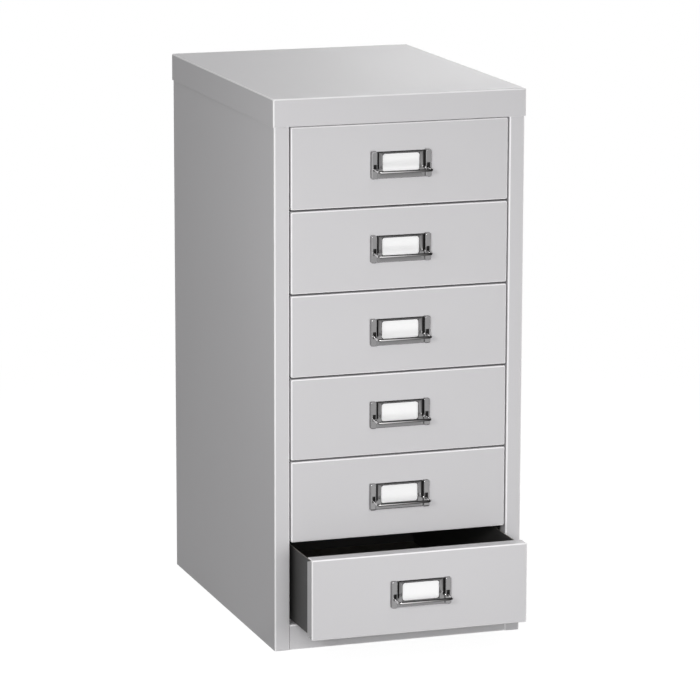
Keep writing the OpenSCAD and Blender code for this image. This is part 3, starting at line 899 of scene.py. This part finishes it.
class CABINET_OT_card_holders(CabinetOperator, Operator):
    """Presses the card holders: window plate, slits, hollow ears, slots and lugs"""

    bl_idname = "cabinet.card_holders"
    bl_label = "Card holders"

    def build(self, settings):
        size = settings.holders
        finishes = settings.finishes
        plate = bright_plate("holder plate", finishes.holder, finishes.tarnish, roughness=0.14)
        for i in NUMBERS:
            lo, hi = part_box(f"card_holder_{i}")
            bm = bmesh.new()
            width = (hi.x - lo.x) / 2
            height = (hi.z - lo.z) / 2
            self.press_plate(bm, width, height, size, settings.bails)
            self.press_ear(bm, width, height, size, settings.bails)
            self.fold_lugs(bm, width, height, hi.y - (lo.y + size.ear_rise), size)
            ear = parts_where(bm, lambda place: place.x > width - size.ear_width)
            bmesh.ops.mirror(bm, geom=ear, matrix=Matrix.Identity(4), merge_dist=0, axis="X")
            # Each vertex gets its level of painted shade and dark reflection
            lay_painted_shade(bm, lambda place: self.tarnish(place, width, height, settings))
            face = Vector((0, lo.y + size.ear_rise, (lo.z + hi.z) / 2))
            bmesh.ops.translate(bm, verts=list(bm.verts), vec=face)
            set_down(f"holder_plate_{i}", bm, f"drawer_{i}", [f"card_holder_{i}"],
                     plate, size.sheet, size.edge)

    def press_plate(self, bm, width, height, size, bail):
        """Plate with the window, its bottom lip and the flange beside each slit.

        A narrow ring of faces round the window keeps the painted dark line of its rim apart.
        """
        half = size.sheet / 2
        out = -size.plate_rise + half
        top = height - size.frame_drop
        bottom = half - height
        slit_inner = width - size.ear_width - size.slit
        ear_wall = width - size.ear_width + half
        window = Vector((size.window_width / 2, 0, size.window_height / 2))
        centre = Vector((0, out, height - size.window_top - window.z))
        grid = bmesh.ops.create_grid(
            bm, x_segments=1, y_segments=1, size=1, matrix=Matrix.Rotation(math.pi / 2, 4, "X")
        )["verts"]
        bmesh.ops.scale(bm, verts=grid, vec=(window.x, 1, window.z))
        bmesh.ops.translate(bm, verts=grid, vec=centre)
        round_off(bm, bm.verts, size.window_corner, WINDOW_STEPS, affect="VERTICES")
        bmesh.ops.delete(bm, geom=list(bm.faces), context="FACES_ONLY")
        ring = draw_out(bm, bm.edges, Vector())
        scale_about(bm, ring, centre, (1 + size.sheet / window.x, 1, 1 + size.sheet / window.z))
        outline = draw_out(bm, ring, Vector())
        for v in ends_of(outline):
            v.co.x = math.copysign(slit_inner - half, v.co.x)
            v.co.z = top if v.co.z > centre.z else bottom
        bmesh.ops.remove_doubles(bm, verts=list(bm.verts), dist=MERGE)
        cut(bm, list(bm.faces), -bail.pivot_drop * Z, Z)
        sides = [
            e for e in bm.edges
            if e.is_boundary and abs(middle(e).x) > window.x + half
            and bottom + half < middle(e).z < top - half
        ]
        low = [e for e in sides if middle(e).z < -bail.pivot_drop]
        flanges = [e for e in sides if middle(e).z > -bail.pivot_drop]
        for side in (-1, 1):
            edge = [e for e in low if middle(e).x * side > 0]
            draw_out(bm, edge, side * (ear_wall - slit_inner + half) * X)
        lip = [e for e in bm.edges if e.is_boundary and middle(e).z < bottom + half / 2]
        draw_out(bm, flanges, -out * Y)
        draw_out(bm, lip, -out * Y)
        bend = half * 1.5
        round_off(bm, flanges + lip, bend, TIGHT_STEPS)

    def press_ear(self, bm, width, height, size, bail):
        """Right ear, a hollow block open at the back, with the arm's slot and the pin's bore.

        A guard line above and one below the slot keep its shading to its ends.
        """
        half = size.sheet / 2
        lo = Vector((width - size.ear_width + half, -size.ear_rise + half, -height + half))
        hi = Vector((width - half, 0, height - half))
        folds = open_block(bm, lo, hi, Y)
        round_off(bm, folds, size.press - half, PRESS_STEPS)
        wire = bail.wire / 2
        depth = size.ear_rise - bail.pivot_rise
        reach = [
            -depth * math.tan(bail.rest) - wire / math.cos(bail.rest) - bail.slot_gap / 2,
            depth * math.tan(bail.lift) + wire / math.cos(bail.lift) + bail.slot_gap / 2,
        ]
        floor, ceiling = (z - bail.pivot_drop for z in reach)
        near = bail.arm_place - wire - bail.slot_gap
        far = bail.arm_place + wire + bail.slot_gap
        skin = lo.y + half / 2
        guard = wire / 2
        for point, normal in (
            (near * X, X), (far * X, X), (floor * Z, Z), (ceiling * Z, Z),
            ((floor - guard) * Z, Z), ((ceiling + guard) * Z, Z),
        ):
            cut(bm, faces_where(bm, lambda m: m.x > lo.x - half and m.y < skin), point, normal)
        drop_faces(bm, lambda m: near < m.x < far and m.y < skin and floor < m.z < ceiling)
        pivot = Vector((0, -bail.pivot_rise, -bail.pivot_drop))
        self.bore(bm, lo.x, pivot, wire + bail.bore_gap, half)

    def bore(self, bm, cheek, pivot, radius, half):
        """Opens a bore through the ear's inner cheek, cut along its tangents."""
        turns = [math.tau * k / BORE_FACETS for k in range(BORE_FACETS)]
        normals = [Matrix.Rotation(turn, 3, "X") @ Z for turn in turns]
        for normal in normals:
            near = faces_where(bm, lambda m: abs(m.x - cheek) < half)
            cut(bm, near, pivot + radius * normal, normal)

        def in_bore(m):
            return all((m - pivot).dot(n) < radius for n in normals)

        drop_faces(bm, lambda m: abs(m.x - cheek) < half and in_bore(m))

    def tarnish(self, place, width, height, settings):
        """Painted shade and dark reflection: dark in the slits, round the window and at the roots,
        bright on the ears' faces.
        """
        size = settings.holders
        level = settings.tarnish
        across = abs(place.x)
        root = 1 - abs(place.y) / size.ear_rise
        inner = width - size.ear_width
        if across > inner + size.sheet:
            return root * level.ears
        past_bend = across > inner - size.slit - size.sheet
        in_slit = past_bend and place.z > -settings.bails.pivot_drop - MERGE
        behind_plate = abs(place.y) < size.plate_rise - size.sheet * 1.5
        if in_slit or behind_plate:
            return min(1, root * level.slits)
        window_high = height - size.window_top + MERGE
        window_low = window_high - size.window_height - 2 * MERGE
        if across < size.window_width / 2 + MERGE and window_low < place.z < window_high:
            return level.rim
        if place.z > window_high:
            return level.head
        on_sill = window_low - 2 * size.sheet < place.z < window_low
        return level.sill if on_sill else level.foot

    def fold_lugs(self, bm, width, height, back, size):
        """Two lugs that pass through the front and fold over behind it."""
        half = size.sheet / 2
        wall = width - half
        root = -half / 10
        inside = back - half
        bend = half * 1.4
        for end in (-1, 1):
            z = end * (height - size.lug_margin) - (size.lug_height if end > 0 else 0)
            corners = [(wall, root, z), (wall, inside, z), (wall - size.lug_fold, inside, z)]
            folded_sheet(bm, corners, size.lug_height * Z, bend, TIGHT_STEPS)


class CABINET_OT_label_cards(CabinetOperator, Operator):
    """Cuts the blank cards"""

    bl_idname = "cabinet.label_cards"
    bl_label = "Cards"

    def build(self, settings):
        paper = card_paper("card paper", settings.finishes.card)
        for i in NUMBERS:
            lo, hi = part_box(f"label_card_{i}")
            thickness = hi.y - lo.y
            bm = bmesh.new()
            block(bm, lo, hi)
            corners = [e for e in bm.edges if abs((e.verts[0].co - e.verts[1].co).y) > MERGE]
            round_off(bm, corners, thickness, TIGHT_STEPS)
            set_down(f"card_{i}", bm, f"drawer_{i}", [f"label_card_{i}"], paper,
                     edge=thickness / 8)


class CABINET_OT_bails(CabinetOperator, Operator):
    """Bends the wire bails"""

    bl_idname = "cabinet.bails"
    bl_label = "Bails"

    def build(self, settings):
        size = settings.bails
        holder = settings.holders
        finishes = settings.finishes
        plate = bright_plate("bail plate", finishes.bail, finishes.tarnish, roughness=0.16)
        for i in NUMBERS:
            lo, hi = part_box(f"card_holder_{i}")
            pin_end = hi.x - holder.ear_width - size.pin_gap
            bm = bmesh.new()
            self.bend(bm, size, pin_end)
            # Each vertex gets its level of painted dark reflection and shade
            lay_painted_shade(bm, lambda place: self.tarnish(place, size))
            hang = Matrix.Rotation(size.rest, 3, "X")
            bmesh.ops.rotate(bm, verts=list(bm.verts), cent=Vector(), matrix=hang)
            depth = lo.y + holder.ear_rise - size.pivot_rise
            pivot = Vector((0, depth, (lo.z + hi.z) / 2 - size.pivot_drop))
            bmesh.ops.translate(bm, verts=list(bm.verts), vec=pivot)
            set_down(f"bail_wire_{i}", bm, f"bail_{i}", [f"pull_{i}"], plate)

    def tarnish(self, place, size):
        """Painted dark reflections and shade along the crossbar's top and underside and at its
        ends, bright along the arms.

        Heights run from -1 at the wire's underside to 1 at its top.
        """
        arm_bright, arm_dark = -0.5, -0.75
        shine, bright, dark = 0.05, 0.3, 0.55
        left_reach, right_reach = 0.9 * size.corner, 3 * size.corner
        height = place.z / size.wire * 2
        on_arm = place.y > size.corner * 0.3 - size.arm
        if on_arm:
            return clamp(slope(height, arm_bright, arm_dark))
        edge = slope(abs(height - shine), bright, dark)
        left = slope(size.arm_place + place.x, left_reach, left_reach - size.corner)
        right = slope(size.arm_place - size.corner - place.x, right_reach, 0)
        return clamp(max(edge, left, right))

    def bend(self, bm, size, pin_end):
        """Right pin, arm, crossbar, left arm and pin, drawn and turned from one circle."""
        upright = Matrix.Rotation(math.pi / 2, 4, "Y")
        ring = bmesh.ops.create_circle(
            bm, segments=WIRE_FACETS, radius=size.wire / 2, matrix=upright
        )["verts"]
        bmesh.ops.translate(bm, verts=ring, vec=pin_end * X)
        end = list(bm.edges)
        pin = size.arm_place - size.pin_corner - pin_end
        arm = size.arm - size.corner - size.pin_corner
        bar = 2 * (size.arm_place - size.corner)
        steps = [
            (pin * X, (size.arm_place - size.pin_corner, -size.pin_corner)),
            (-arm * Y, (size.arm_place - size.corner, size.corner - size.arm)),
            (-bar * X, (size.corner - size.arm_place, size.corner - size.arm)),
            (arm * Y, (size.pin_corner - size.arm_place, -size.pin_corner)),
        ]
        for along, (x, y) in steps:
            end = draw_out(bm, end, along)
            turned = bmesh.ops.spin(
                bm, geom=end + ends_of(end), cent=(x, y, 0), axis=-Z, angle=math.pi / 2,
                steps=WIRE_BEND_STEPS, use_merge=False,
            )
            end = edges_of(turned["geom_last"])
        draw_out(bm, end, -pin * X)
        bmesh.ops.holes_fill(bm, edges=[e for e in bm.edges if e.is_boundary], sides=0)
        caps = [e for f in bm.faces if len(f.verts) == WIRE_FACETS for e in f.edges]
        round_off(bm, caps, size.wire / 8, EDGE_STEPS)


class CABINET_OT_stage(CabinetOperator, Operator):
    """Sets the floor, the lamps, the sky and the camera"""

    bl_idname = "cabinet.stage"
    bl_label = "Stage"

    def build(self, settings):
        stage = settings.stage
        self.lay_floor(stage)
        for name, (place, width, mirrored) in LAMPS.items():
            self.hang_lamp(f"{name} lamp", place, width, getattr(stage, name), mirrored)
        self.light_sky(stage)
        self.set_camera(stage)
        bpy.context.scene.view_settings.view_transform = "Standard"

    def lay_floor(self, stage):
        """A pale floor that the camera sees as white but for the cabinet's shadow."""
        finish = Finish("floor")
        clouds = finish.noise(size=0.4, detail=2)
        grey = finish.mottle(clouds, (stage.floor,) * 3, dark=0.99, pale=1.01)
        lit = finish.add("ShaderNodeBsdfDiffuse", sockets={"Color": grey})
        glow = finish.add("ShaderNodeEmission", sockets={"Strength": 1 - stage.shadow})
        near = finish.add("ShaderNodeAddShader", sockets={0: lit, 1: glow})
        white = finish.add("ShaderNodeEmission", sockets={"Strength": 1.0})
        sockets = {0: finish.rise(finish.distance(), *FLOOR_FADE), 1: near, 2: white}
        pale = finish.add("ShaderNodeMixShader", sockets=sockets)
        sockets = {0: finish.seen_rays(), 1: lit, 2: pale}
        surface = finish.add("ShaderNodeMixShader", sockets=sockets)
        finish.add("ShaderNodeOutputMaterial", sockets={"Surface": surface})
        bm = bmesh.new()
        bmesh.ops.create_grid(bm, x_segments=1, y_segments=1, size=FLOOR_REACH)
        mesh = bpy.data.meshes.new("floor")
        bm.to_mesh(mesh)
        bm.free()
        mesh.materials.append(finish.material)
        floor = bpy.data.objects.new("floor", mesh)
        bpy.context.scene.collection.objects.link(floor)

    def hang_lamp(self, name, place, width, power, mirrored):
        """Hangs a square lamp that faces the middle of the cabinet."""
        lamp = bpy.data.lights.new(name, "AREA")
        lamp.energy = power
        lamp.size = width
        hung = bpy.data.objects.new(name, lamp)
        hung.location = place
        aim = (cad_bounds[0] + cad_bounds[1]) / 2 - Vector(place)
        hung.rotation_euler = aim.to_track_quat("-Z", "Y").to_euler()
        hung.visible_camera = False
        hung.visible_glossy = mirrored
        bpy.context.scene.collection.objects.link(hung)

    def light_sky(self, stage):
        """Even light for the cabinet, and white wherever the background is seen."""
        world = bpy.data.worlds.new("sky")
        world.use_nodes = True
        bpy.context.scene.world = world
        sky = Nodes(world.node_tree)
        level = stage.sky + (1 - stage.sky) * sky.seen_rays()
        light = sky.add("ShaderNodeBackground", sockets={"Color": (1, 1, 1, 1), "Strength": level})
        sky.add("ShaderNodeOutputWorld", sockets={"Surface": light})

    def set_camera(self, stage):
        """Turns, dips and rolls a camera from a level view along Y."""
        camera = bpy.data.cameras.new("camera")
        camera.sensor_width = SENSOR_WIDTH
        camera.lens = stage.lens
        camera.clip_end = CAMERA_REACH
        seen = bpy.data.objects.new("camera", camera)
        aim = Vector((
            math.sin(stage.turn) * math.cos(stage.dip),
            math.cos(stage.turn) * math.cos(stage.dip),
            -math.sin(stage.dip),
        ))
        level = aim.to_track_quat("-Z", "Y").to_matrix()
        seen.rotation_euler = (level @ Matrix.Rotation(stage.roll, 3, "Z")).to_euler()
        seen.location = stage.camera
        bpy.context.scene.collection.objects.link(seen)
        bpy.context.scene.camera = seen


class CABINET_PT_sidebar(Panel):
    """Lists the cabinet's pieces"""

    bl_label = "Drawer cabinet"
    bl_space_type = "VIEW_3D"
    bl_region_type = "UI"
    bl_category = "Cabinet"

    def draw(self, context):
        settings = context.scene.drawer_cabinet
        for operator in OPERATORS:
            self.layout.operator(operator.bl_idname)
        for part in settings.__annotations__:
            group = getattr(settings, part)
            column = self.layout.column(align=True)
            for name in group.__annotations__:
                column.prop(group, name)


GROUPS = (CarcaseSettings, FrontSettings, TraySettings, HolderSettings, BailSettings,
          FinishSettings, PaintedShadeSettings, StageSettings, CabinetSettings)
OPERATORS = tuple(CabinetOperator.__subclasses__())
CLASSES = (*GROUPS, *OPERATORS, CABINET_PT_sidebar)


def register():
    for cls in CLASSES:
        bpy.utils.register_class(cls)
    bpy.types.Scene.drawer_cabinet = PointerProperty(type=CabinetSettings)


def unregister():
    del bpy.types.Scene.drawer_cabinet
    for cls in reversed(CLASSES):
        bpy.utils.unregister_class(cls)


def main():
    register()
    for operator in OPERATORS:
        group, name = operator.bl_idname.split(".")
        getattr(getattr(bpy.ops, group), name)()


if __name__ == "__main__":
    main()
